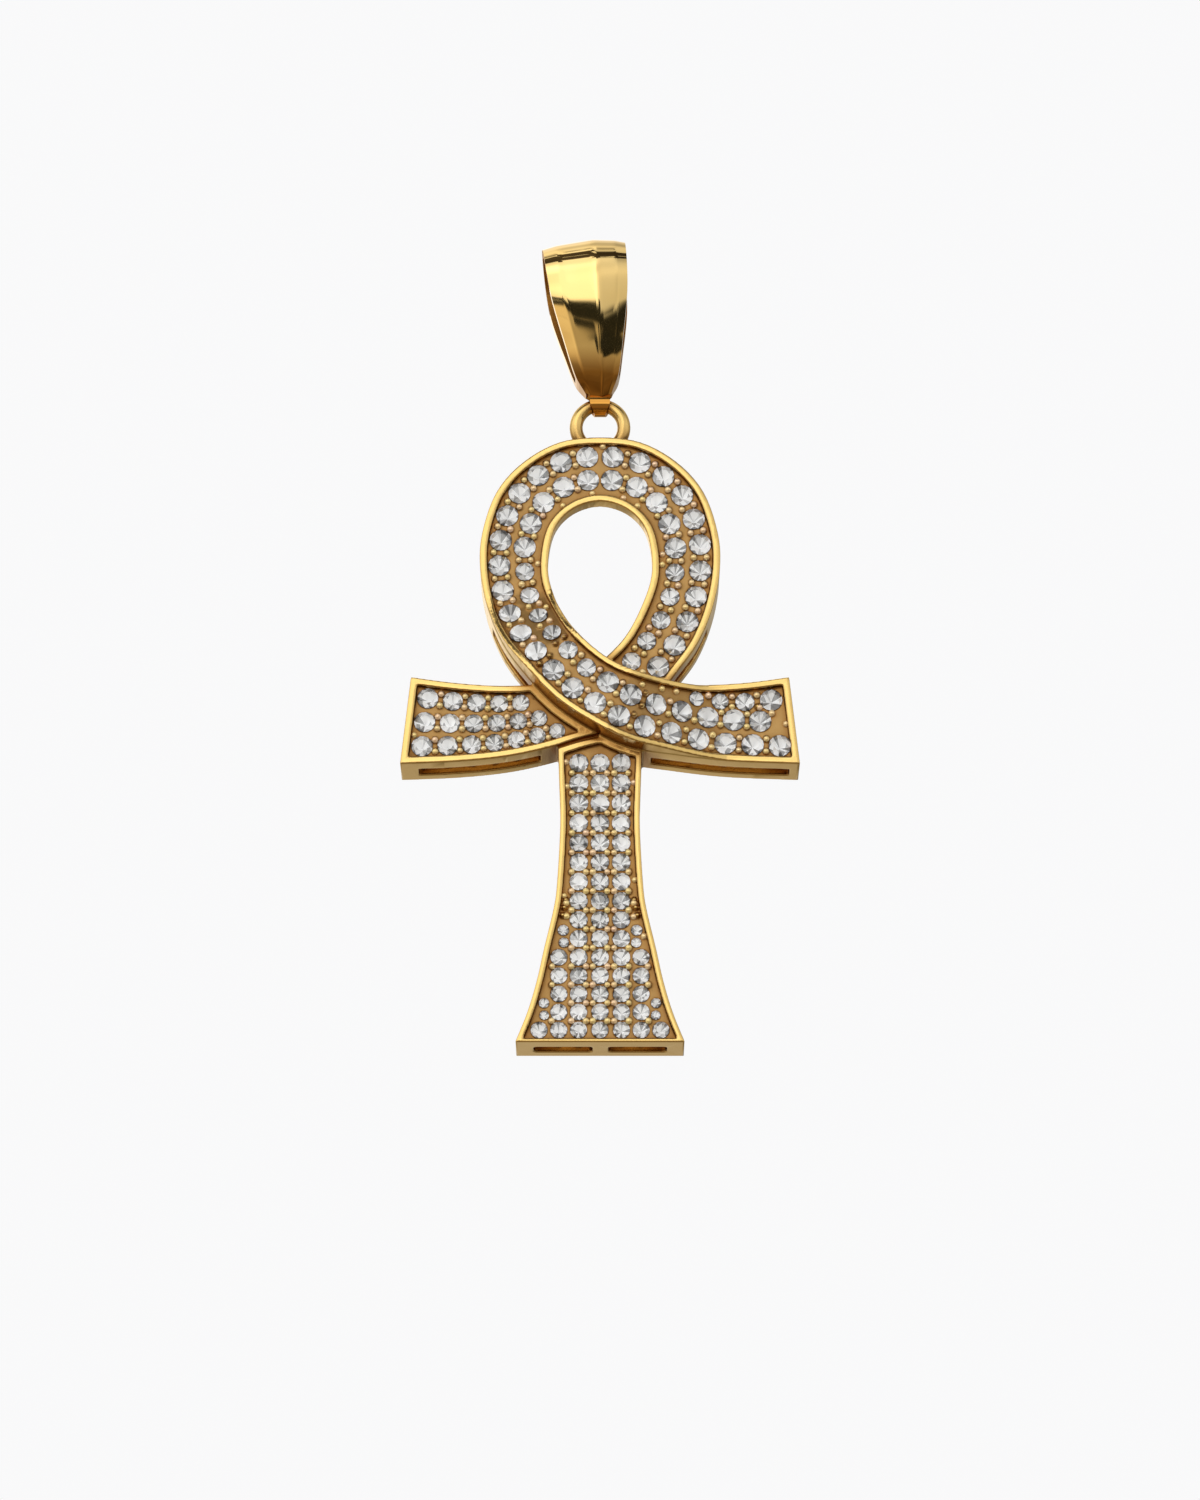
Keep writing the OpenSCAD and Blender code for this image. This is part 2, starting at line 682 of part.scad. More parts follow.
// Slots through the side walls, between two places on a curve
module wall_slot(p, from, to, side) {
  run = part_of(p, from, to);
  as_front(SLOT_FROM, SLOT_FROM + slot_w)
    polygon(concat(moved(run, -side * wall_t), reversed(moved(run, side * (wall_t + OVER)))));
}
module foot_slot(x0, x1) {
  r = SLOT_ROUND * slot_w;
  up = slot_w / 2 - r;
  rounded = [
    for (corner = [[x1 - r, -up, -90], [x1 - r, up, 0], [x0 + r, up, 90], [x0 + r, -up, 180]], a = [0 : 30 : 90])
      [corner[0] + r * cos(corner[2] + a), corner[1] + r * sin(corner[2] + a)]
  ];
  translate([0, SLOT_FROM + slot_w / 2, -shaft_h - OVER]) linear_extrude(wall_t + 2 * OVER) polygon(rounded);
}
module slots() {
  wall_slot(arm_low, 2, 14, 1);
  wall_slot(band_low, (len(LOOP_EDGE) + 2) * STEPS + 3, (len(LOOP_EDGE) + 4) * STEPS + 4, 1);
  wall_slot(band_low, 6 * STEPS + 2, 8 * STEPS + 1, 1);
  wall_slot(loop_right, 6 * STEPS + 2, 8 * STEPS + 1, -1);
  for (row = FOOT_SLOTS) foot_slot(row[0] * foot_w, row[1] * foot_w);
}
module groove() {
  difference() {
    strip(arm_low, arm_high, -groove_w);
    strip(arm_low, arm_high, 0);
    band_cover(0);
  }
}

module casting() {
  color(GOLD) translate(hinge - [0, 0, hinge_up]) {
    difference() {
      union() {
        difference() {
          as_front(FRONT, BACK) {
            loop_shape(0);
            strip(arms_low, arms_high, 0);
            shaft_shape(0, 0);
          }
          as_front(FRONT - OVER, BACK + OVER) hole_shape(0);
          as_front(FRONT - OVER, FLOOR) {
            band_field();
            loop_field();
            arm_field();
            shaft_field();
            groove();
          }
          as_front(PLATE_BACK, BACK + OVER) {
            loop_shape(wall_t);
            strip(arms_low, arms_high, wall_t);
            shaft_shape(wall_t, wall_t);
          }
          slots();
        }
        raised_band();
        translate([0, 0, loop_h + ring_rise]) rotate([90, 0, 0]) rotate_extrude() translate([ring_d / 2, 0])
          circle(d = wire_d);
        beads(ribbon_beads);
        beads(left_arm_beads);
        beads(shaft_beads);
      }
      under_band();
      seats(all_ribbon_stones);
      seats(all_left_arm_stones);
      seats(all_shaft_stones);
    }
  }
}

module ribbon_stones() stones(all_ribbon_stones);
module left_arm_stones() stones(all_left_arm_stones);
module shaft_stones() stones(all_shaft_stones);

// The bail: a ridged band bent to a tall drop, with an eye for the ring at its foot
bail_side = from_top([for (row = BAIL_SIDE) [row[0] * bail_d / 2, row[1] * bail_h, row[2] * bail_w / 2]], BAIL_STEPS);
function bail_normal(i) =
  let (
    after = bail_side[min(i + 1, len(bail_side) - 1)],
    before = i == 0 ? [-after[0], after[1]] : bail_side[i - 1]
  )
  left_of(unit([after[0] - before[0], after[1] - before[1]]));
function band_section(i, side) =
  let (q = bail_side[i], n = bail_normal(i))
  [for (row = ACROSS) [row[0] * q[2], side * (q[0] + n[0] * row[1] * ridge_h), q[1] + n[1] * row[1] * ridge_h]];
module bail_band() {
  n = len(bail_side);
  m = 2 * n - 1;
  sections = concat([for (i = [n - 1 : -1 : 0]) band_section(i, -1)], [for (i = [1 : n - 1]) band_section(i, 1)]);
  faces = concat(
    [
      for (s = [0 : m - 2], k = [0 : 3])
        let (a = 5 * s + k)
        each [[a, a + 5, a + 6], [a, a + 6, a + 1]]
    ],
    [
      for (s = [0 : n - 2])
        let (a = 5 * s, b = 5 * (m - 1 - s))
        each s == n - 2
          ? [[a, b, a + 5], [a + 4, a + 9, b + 4]]
          : [[a, b, b - 5, a + 5], [a + 4, a + 9, b - 1, b + 4]]
    ],
    [for (k = [0 : 3]) let (b = 5 * (m - 1)) [k, k + 1, b + k + 1, b + k]]
  );
  inside = [
    for (i = [0 : CHANNEL_END])
      let (q = bail_side[i], n = bail_normal(i)) [q[0] - n[0] * band_t, q[1] - n[1] * band_t]
  ];
  difference() {
    polyhedron(flat(sections), faces, convexity = 4);
    rotate([90, 0, 90]) linear_extrude(2 * bail_w, center = true)
      polygon(concat(inside, reversed(part_of(mirrored(inside), 1, CHANNEL_END))));
  }
}
function droop(x) = ring_d / 2 - sqrt(pow(ring_d / 2, 2) - x * x);
module eye_bore() {
  r = wire_d / 2 + eye_gap;
  end = 1.2 * eye_r;
  rotate([0, 90, 0])
    rotate_extrude()
      polygon([[0, -end], [r + droop(end), -end], [r, -EYE_FLAT], [r, EYE_FLAT], [r + droop(end), end], [0, end]]);
}
module bail() {
  color(GOLD) translate(hinge) {
    difference() {
      union() {
        rotate([0, -bail_lean, 0]) bail_band();
        intersection() {
          as_front(-2 * eye_r, 2 * eye_r)
            polygon(concat(sized(EYE_SIDE, eye_r, eye_r), reversed(sized(EYE_SIDE, -eye_r, eye_r))));
          rotate([0, 90, 0]) cylinder(r = eye_r, h = 4 * eye_r, center = true);
        }
      }
      eye_bore();
    }
  }
}

casting();
bail();
ribbon_stones();
left_arm_stones();
shaft_stones();
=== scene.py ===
"""An ankh pendant set with small clear stones, hanging from a mirror-polished bail."""

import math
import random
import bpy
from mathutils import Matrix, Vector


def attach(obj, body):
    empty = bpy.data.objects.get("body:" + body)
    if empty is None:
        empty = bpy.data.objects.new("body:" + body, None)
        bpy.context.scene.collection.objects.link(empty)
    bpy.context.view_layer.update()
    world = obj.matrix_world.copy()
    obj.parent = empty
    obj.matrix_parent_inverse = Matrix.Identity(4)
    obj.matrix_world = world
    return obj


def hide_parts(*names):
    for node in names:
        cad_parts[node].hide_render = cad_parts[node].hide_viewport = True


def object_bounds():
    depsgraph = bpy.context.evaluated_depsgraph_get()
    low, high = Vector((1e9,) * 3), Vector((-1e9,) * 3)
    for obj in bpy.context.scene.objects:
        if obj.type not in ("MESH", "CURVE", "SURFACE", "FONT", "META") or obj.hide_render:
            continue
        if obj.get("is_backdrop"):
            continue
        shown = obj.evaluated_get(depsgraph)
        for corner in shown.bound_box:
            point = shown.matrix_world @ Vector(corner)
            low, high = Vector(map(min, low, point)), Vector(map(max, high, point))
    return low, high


bl_info = {
    "name": "Ankh Pendant",
    "version": (1, 0, 0),
    "blender": (4, 5, 0),
    "location": "View3D > Sidebar > Ankh",
    "description": "Dresses the ankh pendant: cast gold, polished bail, cut stones and a studio",
    "category": "Add Mesh",
}

import bmesh
import bpy
from bpy.props import FloatProperty, FloatVectorProperty, IntProperty, PointerProperty
from mathutils import Matrix, Vector
from mathutils.kdtree import KDTree

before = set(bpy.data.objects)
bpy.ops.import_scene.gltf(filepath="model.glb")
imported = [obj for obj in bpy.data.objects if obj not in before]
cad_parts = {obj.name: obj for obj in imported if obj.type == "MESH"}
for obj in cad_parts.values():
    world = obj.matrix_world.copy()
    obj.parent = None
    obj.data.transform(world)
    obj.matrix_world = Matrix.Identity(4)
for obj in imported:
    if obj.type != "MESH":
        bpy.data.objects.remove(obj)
CAD_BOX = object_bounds()

MM = 0.001
MERGE = 0.5e-6            # corners nearer than this are one
STONE_SEED = 7
BEAD_SEED = 11

STONE_NODES = {
    "ribbon_stones": "ribbon_brilliants",
    "left_arm_stones": "left_arm_brilliants",
    "shaft_stones": "shaft_brilliants",
}
BEADS_OF = {
    "ribbon_stones": "ribbon_beads",
    "left_arm_stones": "left_arm_beads",
    "shaft_stones": "shaft_beads",
}

# The floors of the stone fields, by height from a stone's girdle and by how they face
FIELD_TOP = 0.16 * MM     # over the girdle, where the floor has ended
FIELD_LOW = 0.04 * MM     # over the girdle, under which all is floor
FIELD_DEEP = 0.6 * MM     # below the girdle, where the back starts
FACING_FROM = 0.3         # cosine to the stone's axis at which a face starts to count as floor
FACING_TO = 0.8           # cosine at which it counts in full
SURE_FLOOR = 0.9          # mark over which a corner is floor
SURE_RIM = 0.1            # mark under which a corner is rim

# The plating: waves and pits to a metre, how high they are, and how rough they make it
WAVES = 900
PITS = 6000
BEAD_WAVES = 3000
RELIEF = 0.006 * MM
WAVES_TO_PITS = 2.0       # how much more the waves raise it than the pits
WAVES_ROUGH = 0.12
FIELD_ROUGH = 0.22        # what the floors of the fields are rougher
# Painted shade: the plating's colour turns darker where walls are near, by ambient occlusion
SHADE_REACH = 1.6 * MM    # how far a wall shades the plating
SHADE_DEEP = 0.45         # open share at which the plating is darkest
SHADE_POWER = 1.6

# The bail's faces: which triangles are joined, and which edges stay crisp
JOIN_FLAT = math.radians(20)
JOIN_SHAPE = math.radians(60)
CORNER = math.radians(40)
RIDGE = math.radians(3)
BEND = 0.8                # an edge with more than this share of its length across is a bend
SMOOTH_UNDER = math.radians(20)
POLISH_WAVES = 420        # waves of the polish to a metre
POLISH_RELIEF = 0.02 * MM
# The neck's colour below is a painted reflection of the ring
NECK_WAVE = 0.6 * MM      # how far the neck's colour wanders up and down
INSIDE_ROUGH = 0.4        # what the inside of the band is rougher

# A stone of radius 1: its rings besides the table and the girdle
AT_GIRDLE = 0.98          # radius over which a corner is at the girdle
STAR_OUT = 1.03           # how far the star ring stands out of the middle of table and girdle
LOW_RING = 0.3
CULET_RING = 0.03
FLAT_FACET = math.radians(1.0)    # faces that lie as flat to each other are one facet

# Painted reflections: how light the facets are painted, in a stone's middle and along its girdle
INNER_REFLECTION_LEVELS = (1.0, 1.0, 1.0, 1.0, 0.6, 0.2)
OUTER_REFLECTION_LEVELS = (1.0, 0.9, 0.35, 0.05, 0.0)
PAVILION_MIDDLE = 0.6     # radius within which a pavilion facet is in the middle
CROWN_MIDDLE = 0.85       # radius within which a crown facet is in the middle

# The beads: their faces, how their sizes differ, and the share of their gap kept from other stones
BALL_SEGMENTS = 8
BALL_RINGS = 6
BALL_SIZES = (0.92, 1.06)
OTHERS_GAP = 0.8

# What the gold mirrors from low to high, in front and behind: the tent's panels and its dark gaps
FRONT_STOPS = (
    (0.00, (0.20, 0.14, 0.08)),
    (0.20, (0.26, 0.18, 0.10)),
    (0.30, (0.42, 0.33, 0.22)),
    (0.42, (0.64, 0.54, 0.38)),
    (0.43, (0.03, 0.03, 0.025)),
    (0.46, (0.03, 0.03, 0.025)),
    (0.47, (1.0, 0.98, 0.92)),
    (0.86, (0.95, 0.94, 0.90)),
    (0.875, (0.05, 0.04, 0.03)),
    (0.96, (0.05, 0.04, 0.03)),
    (0.975, (0.85, 0.83, 0.78)),
)
BACK_STOPS = (
    (0.00, (0.30, 0.26, 0.20)),
    (0.40, (0.42, 0.38, 0.30)),
    (0.60, (0.58, 0.54, 0.46)),
    (1.00, (0.85, 0.82, 0.76)),
)

# The tent's unevenness, on a sphere of radius 1
TENT_BLOCKS = 9.0         # blocks to a unit, which step the edges of its gaps
TENT_WAVES = 7.0          # waves to a unit, which bend them
TENT_PANELS = 2.2         # lighter and darker panels to a unit
GAP_SHIFT = 0.06          # how far a gap's edge is shifted, to the height of the tent
CREST_FROM = 0.6          # height from which the edges are shifted further
CREST_SHIFT = 0.24
FRONT_END = -0.25         # depth at which the front starts to turn into the back
BACK_START = 0.05         # depth at which it is all back
PANEL_NOISE = (0.35, 0.65)        # noise at which a panel is darkest and lightest
PANEL_STRENGTH = (0.7, 1.3)
DIM_FROM = 0.05           # how far to the right the tent starts to be dimmer
DIM_TO = 0.2
DIMMEST = 0.7

# The window in the tent, which lies to the left and over the level: ends of its soft edges
WINDOW_RIGHT = (0.1, -0.02)
WINDOW_LEFT = (-0.5, -0.35)
WINDOW_LOW = (-0.1, -0.02)
WINDOW_HIGH = (0.7, 0.5)

# The soft boxes: name, place, width and power
SOFT_BOXES = (
    ("key", (-0.20, -0.34, 0.30), 0.20, 1.1),
    ("fill", (0.40, -0.20, 0.10), 0.16, 0.3),
)

# The photograph's view: how far up it looks, how far away, and what it is centred on
LOOKS_UP = 18.0
DISTANCE = 325 * MM
PHOTO_WIDTH = 1200
PIXEL = 0.058 * MM
CENTRE = Vector((0.958, -1.6, -31.66)) * MM


class Value:
    """A shader value whose arithmetic adds Math nodes."""

    def __init__(self, shader, socket):
        self.shader = shader
        self.socket = socket

    def math(self, operation, *values):
        """A Math node on the values given."""
        return self.shader.add("ShaderNodeMath", {"operation": operation}, dict(enumerate(values)))

    def __add__(self, other):
        return self.math("ADD", self, other)

    def __radd__(self, other):
        return self.math("ADD", other, self)

    def __sub__(self, other):
        return self.math("SUBTRACT", self, other)

    def __rsub__(self, other):
        return self.math("SUBTRACT", other, self)

    def __mul__(self, other):
        return self.math("MULTIPLY", self, other)

    def __rmul__(self, other):
        return self.math("MULTIPLY", other, self)

    def __pow__(self, other):
        return self.math("POWER", self, other)


class Shader:
    """A node tree that is written from values and links."""

    def __init__(self, owner):
        self.owner = owner
        owner.use_nodes = True
        self.tree = owner.node_tree
        self.tree.nodes.clear()

    def add(self, kind, settings, inputs, output=0):
        """A node of a kind, with its settings first and then the values or links of its sockets."""
        node = self.tree.nodes.new(kind)
        for name, value in settings.items():
            if name == "stops":
                ramp = node.color_ramp
                while len(ramp.elements) < len(value):
                    ramp.elements.new(1)
                for element, (place, colour) in zip(ramp.elements, value):
                    element.position = place
                    element.color = (*colour, 1)
            else:
                setattr(node, name, value)
        for name, value in inputs.items():
            if isinstance(value, Value):
                self.tree.links.new(value.socket, node.inputs[name])
            else:
                node.inputs[name].default_value = value
        return Value(self, node.outputs[output]) if node.outputs else None

    def mix(self, share, first, second):
        """Two colours mixed by a share of the second."""
        inputs = {0: share, 6: opaque(first), 7: opaque(second)}
        return self.add("ShaderNodeMix", {"data_type": "RGBA"}, inputs, 2)

    def noise(self, place, scale, detail=2.0):
        inputs = {"Vector": place, "Scale": scale, "Detail": detail}
        return self.add("ShaderNodeTexNoise", {}, inputs)

    def object_place(self):
        return self.add("ShaderNodeTexCoord", {}, {}, "Object")

    def part(self, vector, axis):
        """One of a vector's parts."""
        return self.add("ShaderNodeSeparateXYZ", {}, {"Vector": vector}, axis)

    def mark(self, name):
        """A value that the mesh carries."""
        return self.add("ShaderNodeAttribute", {"attribute_name": name}, {}, "Fac")

    def map_range(self, value, start, end, low=0.0, high=1.0, smooth=False):
        """A value carried over from one range to another, and held at its ends."""
        settings = {"interpolation_type": "SMOOTHSTEP" if smooth else "LINEAR"}
        inputs = {"Value": value, "From Min": start, "From Max": end, "To Min": low, "To Max": high}
        return self.add("ShaderNodeMapRange", settings, inputs)


def opaque(colour):
    """A colour with its alpha, unless it comes from a node."""
    return colour if isinstance(colour, Value) else (*colour, 1)


def new_material(name):
    return Shader(bpy.data.materials.new(name))


def cast_gold(settings):
    """Satin gold plating: soft waves of roughness, fine pits, painted shade near walls from ambient
    occlusion, and painted shade on the floors between the stones.
    """
    shader = new_material("cast_gold")
    place = shader.object_place()
    waves = shader.noise(place, WAVES, 3)
    pits = shader.noise(place, PITS, 2)
    # Painted shade: ambient occlusion darkens the plating's colour in corners and near walls
    open_share = shader.add(
        "ShaderNodeAmbientOcclusion", {"samples": 6}, {"Distance": SHADE_REACH}, "AO"
    )
    shade = shader.map_range(open_share, SHADE_DEEP, 1.0) ** SHADE_POWER
    # Painted shade: the floors between the stones are given a darker colour
    field = shader.mark("field")
    plating = shader.mix(field, settings.colour, settings.painted_field_shade_colour)
    colour = shader.mix(shade, settings.painted_shade_colour, plating)
    relief = pits + WAVES_TO_PITS * waves
    bump = shader.add("ShaderNodeBump", {}, {"Strength": 0.2, "Distance": RELIEF, "Height": relief})
    roughness = settings.roughness - 0.5 * WAVES_ROUGH + WAVES_ROUGH * waves + FIELD_ROUGH * field
    surface = shader.add("ShaderNodeBsdfPrincipled", {}, {
        "Base Color": colour,
        "Metallic": 1.0,
        "Roughness": roughness,
        "Normal": bump,
    })
    shader.add("ShaderNodeOutputMaterial", {}, {"Surface": surface})
    return shader.owner


def bead_gold(settings):
    """Bright gold of the prong beads, some of them rosy."""
    shader = new_material("bead_gold")
    rose = shader.mark("rose")
    waves = shader.noise(shader.object_place(), BEAD_WAVES)
    surface = shader.add("ShaderNodeBsdfPrincipled", {}, {
        "Base Color": shader.mix(rose, settings.pale_colour, settings.rose_colour),
        "Metallic": 0.65,
        "Roughness": 0.2 + 0.16 * waves,
    })
    shader.add("ShaderNodeOutputMaterial", {}, {"Surface": surface})
    return shader.owner


def polished_gold(settings):
    """Mirror gold: hardly any roughness and a faint waviness from the polishing wheel, with a painted
    reflection of the ring at the neck and painted shade inside the band.
    """
    shader = new_material("polished_gold")
    place = shader.object_place()
    waves = shader.noise(place, POLISH_WAVES, 1)
    bump = shader.add("ShaderNodeBump", {}, {"Strength": 0.5, "Distance": POLISH_RELIEF, "Height": waves})
    # Painted reflection: the neck is coloured as the ring it mirrors; the inside of the band gets the same
    # colour as painted shade
    up = shader.part(place, "Z")
    neck = shader.map_range(up + NECK_WAVE * waves, settings.neck_from, settings.neck_to)
    inside = shader.mark("inside")
    gold = shader.mix(waves, settings.colour, settings.warm_colour)
    dark = neck.math("MAXIMUM", neck, inside)
    surface = shader.add("ShaderNodeBsdfPrincipled", {}, {
        "Base Color": shader.mix(dark, gold, settings.reflection_and_shade_colour),
        "Metallic": 1.0,
        "Roughness": settings.roughness + 0.03 * waves + INSIDE_ROUGH * inside,
        "Normal": bump,
    })
    shader.add("ShaderNodeOutputMaterial", {}, {"Surface": surface})
    return shader.owner


def clear_stone(settings):
    """A colourless cut stone: a clear crown over a pavilion that sends the light back, its facets painted
    light and dark as painted reflections.
    """
    shader = new_material("clear_stone")
    # Painted reflection: each facet's level mixes the dark and light colours
    level = shader.mark("facet")
    below = shader.mark("pavilion")
    colour = shader.mix(level, settings.dark_reflection_colour, settings.colour)
    crown = shader.add("ShaderNodeBsdfPrincipled", {}, {
        "Base Color": colour,
        "Roughness": 0.0,
        "Metallic": 1.0,
        "Alpha": settings.gloss + 0.6 * (1.0 - level),
    })
    pavilion = shader.add("ShaderNodeBsdfPrincipled", {}, {
        "Base Color": colour,
        "Roughness": 0.3,
        "Metallic": 0.1,
    })
    surface = shader.add("ShaderNodeMixShader", {}, {0: below, 1: crown, 2: pavilion})
    shader.add("ShaderNodeOutputMaterial", {}, {"Surface": surface})
    return shader.owner


def add_object(name, mesh, material):
    """An object at the origin with one material."""
    mesh.materials.clear()
    mesh.materials.append(material)
    thing = bpy.data.objects.new(name, mesh)
    bpy.context.scene.collection.objects.link(thing)
    return thing


def with_modifiers(thing, *modifiers):
    """Puts modifiers on an object and applies them, each given as (type, settings)."""
    for kind, settings in modifiers:
        modifier = thing.modifiers.new(kind.title(), kind)
        for name, value in settings.items():
            setattr(modifier, name, value)
    depsgraph = bpy.context.evaluated_depsgraph_get()
    mesh = bpy.data.meshes.new_from_object(thing.evaluated_get(depsgraph))
    thing.modifiers.clear()
    thing.data = mesh
    return thing


def merged_copy(node):
    """A node's mesh in a bmesh, with its doubles merged."""
    bm = bmesh.new()
    bm.from_mesh(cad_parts[node].data)
    bmesh.ops.remove_doubles(bm, verts=bm.verts, dist=MERGE)
    return bm


def finished(bm, name):
    """The mesh of a bmesh, which is freed."""
    mesh = bpy.data.meshes.new(name)
    bm.to_mesh(mesh)
    bm.free()
    return mesh


def islands(node):
    """The corners of each loose solid in a node, in the order of the node's mesh."""
    bm = merged_copy(node)
    done = set()
    for first in bm.verts:
        if first in done:
            continue
        done.add(first)
        found = [first]
        for vert in found:
            for link in vert.link_edges:
                other = link.other_vert(vert)
                if other not in done:
                    done.add(other)
                    found.append(other)
        yield [vert.co.copy() for vert in found]
    bm.free()


def stone_place(corners):
    """Where a stone of the frame stands: a matrix from a stone of radius 1 with its girdle at 0."""
    culet = max(corners, key=lambda p: min((p - other).length for other in corners if other is not p))
    axis = (sum(corners, Vector()) / len(corners) - culet).normalized()
    heights = [(p - culet).dot(axis) for p in corners]
    spread = [((p - culet) - h * axis).length for p, h in zip(corners, heights)]
    radius = max(spread)
    girdle = min(h for h, s in zip(heights, spread) if s > AT_GIRDLE * radius)
    turn = axis.to_track_quat("Z", "Y").to_matrix().to_4x4()
    return Matrix.Translation(culet + girdle * axis) @ turn @ Matrix.Scale(radius, 4)


def mark_fields(mesh):
    """Marks the floors between the stones: they face as the nearest stone does and lie near its girdle."""
    stones = [stone_place(corners) for node in STONE_NODES for corners in islands(node)]
    tree = KDTree(len(stones))
    for k, stone in enumerate(stones):
        tree.insert(stone.to_translation(), k)
    tree.balance()
    field = mesh.attributes.new("field", "FLOAT", "POINT")
    for vert, mark in zip(mesh.vertices, field.data):
        place, k, _ = tree.find(vert.co)
        axis = stones[k].col[2].to_3d().normalized()
        height = (vert.co - place).dot(axis)
        low = (FIELD_TOP - height) / (FIELD_TOP - FIELD_LOW)
        flat = (vert.normal.dot(axis) - FACING_FROM) / (FACING_TO - FACING_FROM)
        mark.value = min(max(low, 0), 1) * min(max(flat, 0), 1) if height > -FIELD_DEEP else 0


def seen_flat(vector):
    """A vector without its depth: rows are spaced as seen from the front."""
    return Vector((vector.x, 0, vector.z))


def bead_places(stones, settings):
    """Places of the prong beads: one on each side of every gap between two neighbours in a row."""
    found = []
    reach = settings.gap + settings.width / 2
    nearest = OTHERS_GAP * settings.gap + settings.width / 2
    for one, two in zip(stones, stones[1:]):
        start = one.to_translation()
        step = two.to_translation() - start
        across = seen_flat(step)
        span = across.length
        first, second = (stone.to_scale().x + reach for stone in (one, two))
        if span > settings.apart:
            continue
        along = (span ** 2 + first ** 2 - second ** 2) / (2 * span)
        least = settings.off * (one.to_scale().x + two.to_scale().x)
        off = math.sqrt(max(first ** 2 - along ** 2, least ** 2))
        up = (one.col[2] + two.col[2]).to_3d().normalized()
        side = Vector((-across.z, 0, across.x)) / span
        side.y = -side.dot(up) / up.y
        for way in (1, -1):
            place = start + along * step / span + way * off * side
            from_stones = all(
                seen_flat(place - stone.to_translation()).length > stone.to_scale().x + nearest
                for stone in stones
            )
            from_beads = all(
                seen_flat(place - other).length > settings.width + settings.gap for other, _ in found
            )
            if from_stones and from_beads:
                found.append((place, up))
    return found


def filling_places(mesh, stones, beads, settings):
    """Places of beads where a field's floor has room left between its stones, beads and rims."""
    marks = mesh.attributes["field"].data
    rims = KDTree(len(mesh.vertices))
    floor = []
    for vert, mark in zip(mesh.vertices, marks):
        if mark.value > SURE_FLOOR:
            floor.append((vert.co.copy(), vert.normal.copy()))
        elif mark.value < SURE_RIM:
            rims.insert(vert.co, vert.index)
    rims.balance()
    found = []
    for place, up in floor:
        to_rim = rims.find(place)[2]
        if to_rim <= settings.rim_room:
            continue
        room = min((place - stone.to_translation()).length - stone.to_scale().x for stone in stones)
        if settings.stone_room < room < settings.apart / 2:
            found.append((to_rim + room, place, up))
    apart = settings.width * settings.grown + settings.gap
    kept = []
    for _, place, up in sorted(found, key=lambda row: row[0]):
        if all((place - other).length > apart for other, _ in beads + kept):
            kept.append((place, up))
    return kept


def brilliant(settings):
    """A round brilliant of radius 1: the hull of its rings of corners, one face a facet."""
    bm = bmesh.new()
    table = settings.table
    crown = settings.crown
    deep = settings.pavilion
    half = math.pi / 8
    star = 0.5 * (table + 1) * STAR_OUT
    star_up = crown * (1 - star * math.cos(half)) / (1 - table)
    low_up = deep * (LOW_RING * math.cos(half) - 1)
    rings = [
        (8, table, 0, crown),
        (8, star, half, star_up),
        (16, 1, 0, 0),
        (8, LOW_RING, half, low_up),
        (8, CULET_RING, 0, -deep),
    ]
    for corners, radius, turn, up in rings:
        place = Matrix.Translation((0, 0, up)) @ Matrix.Rotation(turn, 4, "Z")
        bmesh.ops.create_circle(bm, segments=corners, radius=radius, matrix=place)
    bmesh.ops.convex_hull(bm, input=bm.verts)
    bmesh.ops.dissolve_limit(bm, angle_limit=FLAT_FACET, verts=bm.verts, edges=bm.edges)
    bmesh.ops.recalc_face_normals(bm, faces=bm.faces)
    pavilion = bm.faces.layers.float.new("pavilion")
    outer = bm.faces.layers.float.new("outer")
    for face in bm.faces:
        centre = face.calc_center_median()
        face[pavilion] = centre.z < 0
        face[outer] = centre.xy.length > (PAVILION_MIDDLE if centre.z < 0 else CROWN_MIDDLE)
    return finished(bm, "brilliant")


class CastingSettings(bpy.types.PropertyGroup):
    voxel: FloatProperty(
        name="Voxel", description="Size of the grid that the casting is rounded on",
        default=0.06 * MM, unit="LENGTH",
    )
    rounding: IntProperty(name="Rounding", description="Times that its edges are smoothed", default=3)
    keep: FloatProperty(
        name="Keep", description="Share of the faces that are kept", default=0.18, subtype="FACTOR",
    )
    colour: FloatVectorProperty(
        name="Colour", description="Colour of the plating", default=(0.84, 0.58, 0.21), subtype="COLOR",
    )
    # Painted shade: the colour the plating is darkened to near walls
    painted_shade_colour: FloatVectorProperty(
        name="Deep colour", description="Colour of the plating where it is deep",
        default=(0.30, 0.13, 0.03), subtype="COLOR",
    )
    # Painted shade: the darker colour given to the floors between the stones
    painted_field_shade_colour: FloatVectorProperty(
        name="Field colour", description="Colour of the plating between the stones",
        default=(0.52, 0.33, 0.13), subtype="COLOR",
    )
    roughness: FloatProperty(name="Roughness", description="Roughness of the plating", default=0.19)


